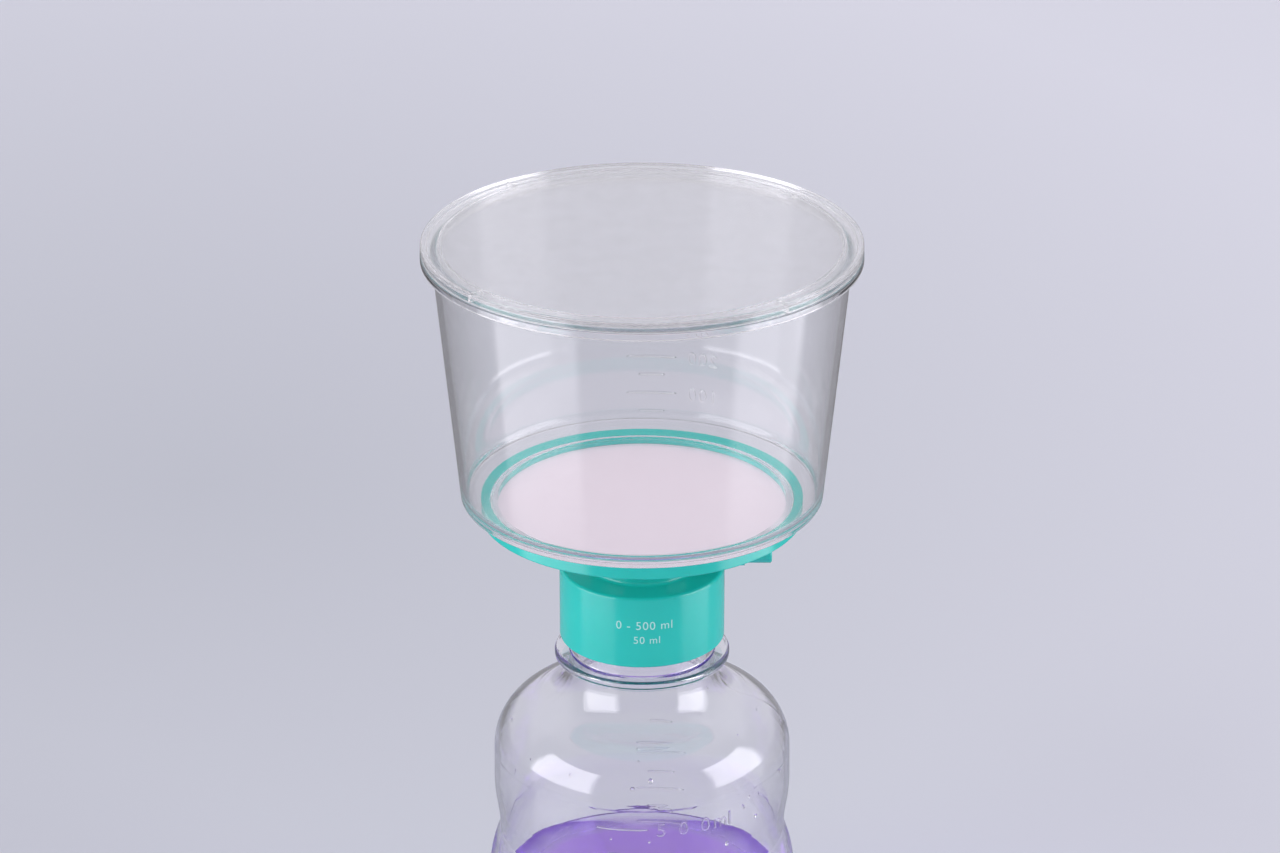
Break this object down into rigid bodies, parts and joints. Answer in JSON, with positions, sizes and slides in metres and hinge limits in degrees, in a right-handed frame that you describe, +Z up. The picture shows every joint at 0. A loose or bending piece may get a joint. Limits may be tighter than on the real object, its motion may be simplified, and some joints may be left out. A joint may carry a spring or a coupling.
{
  "type": "vacuum filtration unit",
  "caption": "Bottle-top vacuum filtration unit: lidded clear funnel over a membrane and slotted support plate, in a ported base that screws on a waisted receiver bottle",
  "frame": {"origin": "centre of the ring that the bottle stands on, on the surface below it", "axes": "+Z up along the common axis of bottle, base and funnel; +X along the hose port"},
  "size_m": [0.1276, 0.1276, 0.2539],
  "materials": {
    "bottle_clear": "clear moulded polystyrene, glossy",
    "liquid": "violet watery filtrate with a level surface",
    "gasket": "pale soft elastomer, satin",
    "base_teal": "opaque teal polystyrene, glossy as moulded",
    "plug_fibre": "white fibre filter plug",
    "plate_white": "white moulded plastic, fine matt",
    "membrane_film": "matt porous film, wet, faint pink",
    "funnel_clear": "clear moulded polystyrene, glossy",
    "lid_clear": "clear moulded polystyrene, glossy"
  },
  "bodies": {
    "bottle": {"bottle": "bottle_clear", "filtrate": "liquid"},
    "seal": {"neck_gasket": "gasket"},
    "head": {"base_adapter": "base_teal", "vent_plug": "plug_fibre", "support_plate": "plate_white", "membrane": "membrane_film", "funnel": "funnel_clear", "lid": "lid_clear"}
  },
  "joints": [
    {"name": "thread_rise", "type": "slide", "parent": "bottle", "child": "seal", "axis": [0, 0, 1], "range_m": [0, 0.006]},
    {"name": "head_turn", "type": "hinge", "parent": "seal", "child": "head", "pos_m": [0, 0, 0.1477], "axis": [0, 0, 1], "range_deg": [0, 540]}
  ],
  "couplings": [
    {"joint": "thread_rise", "follows": "head_turn", "m_per_rad": 0.00063661}
  ]
}
